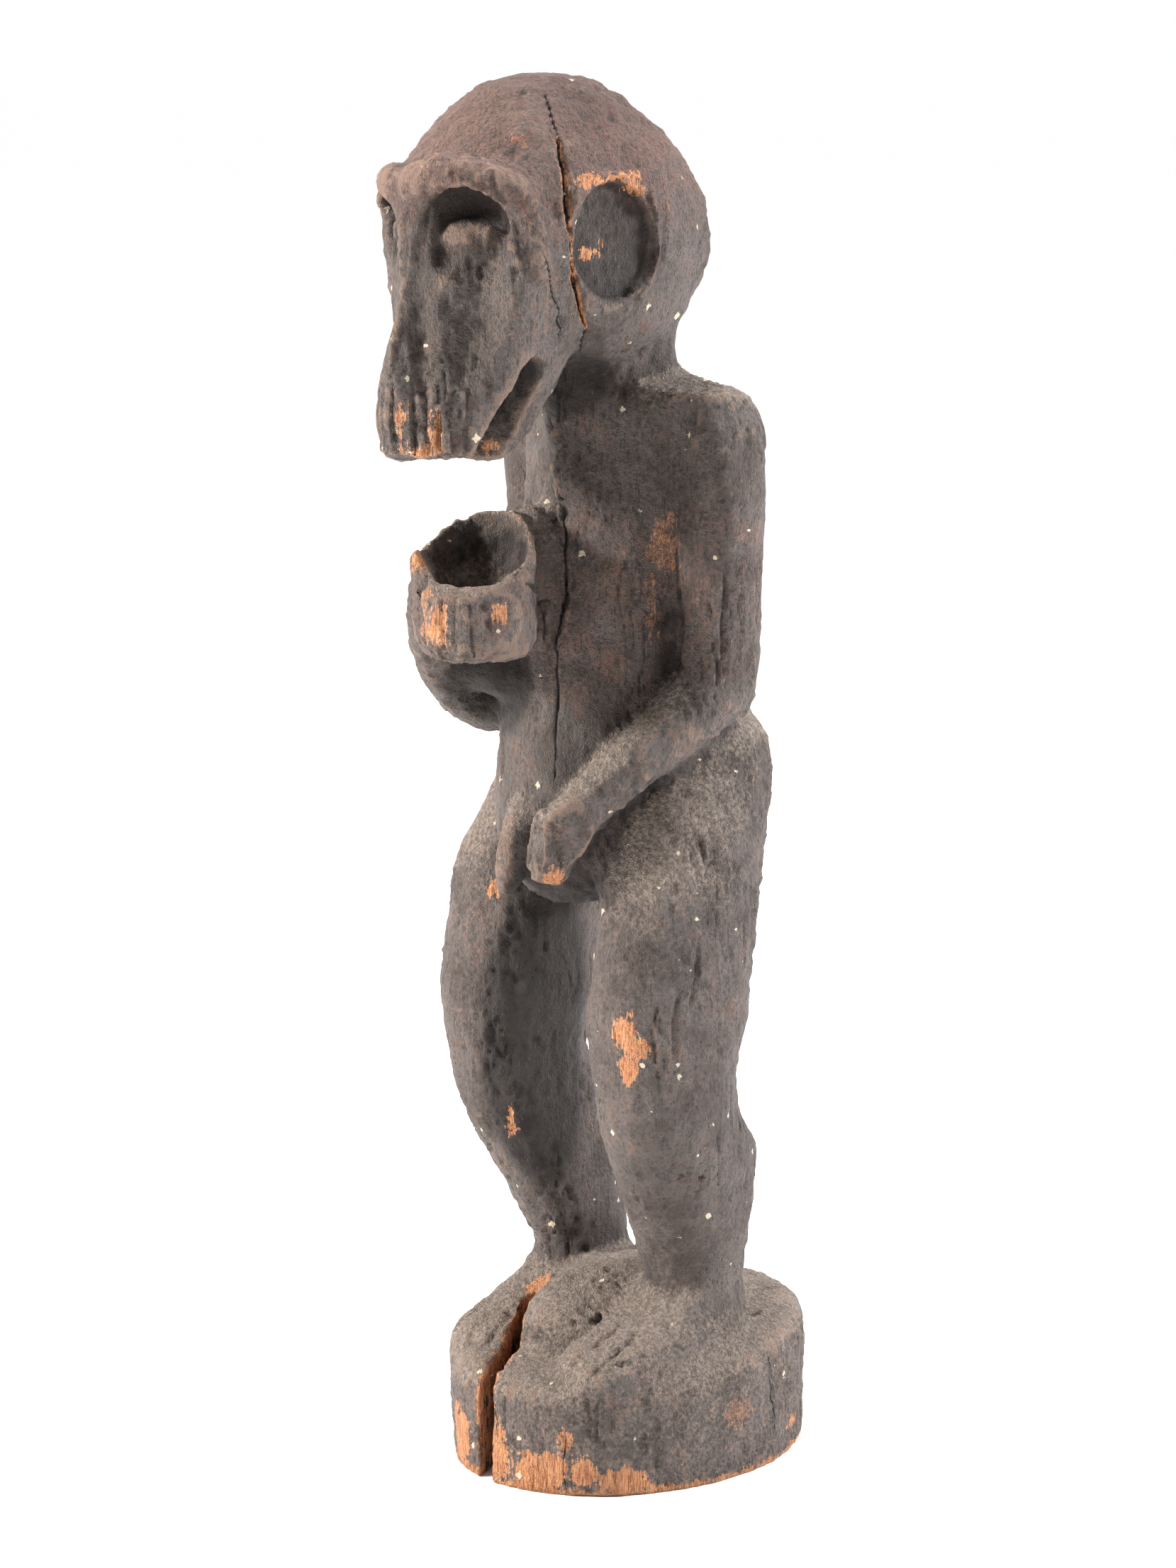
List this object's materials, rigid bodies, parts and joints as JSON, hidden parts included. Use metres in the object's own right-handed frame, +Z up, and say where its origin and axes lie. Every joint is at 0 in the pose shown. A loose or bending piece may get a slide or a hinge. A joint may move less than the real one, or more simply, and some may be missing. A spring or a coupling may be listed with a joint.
{
  "type": "carved monkey figure",
  "caption": "Standing carved wooden monkey with a long muzzle, bent knees and a slanting bowl held before its chest, on an oval plinth.",
  "frame": {"origin": "centre of the plinth's underside, on the floor", "axes": "+Z up, the figure faces -Y, its left side is towards +X"},
  "size_m": [0.1819, 0.2567, 0.7014],
  "materials": {
    "aged_wood": "crusty dark patina, dusty on top, with bare orange wood at chips and cracks"
  },
  "bodies": {
    "root": {"monkey_figure": "aged_wood"}
  },
  "joints": []
}
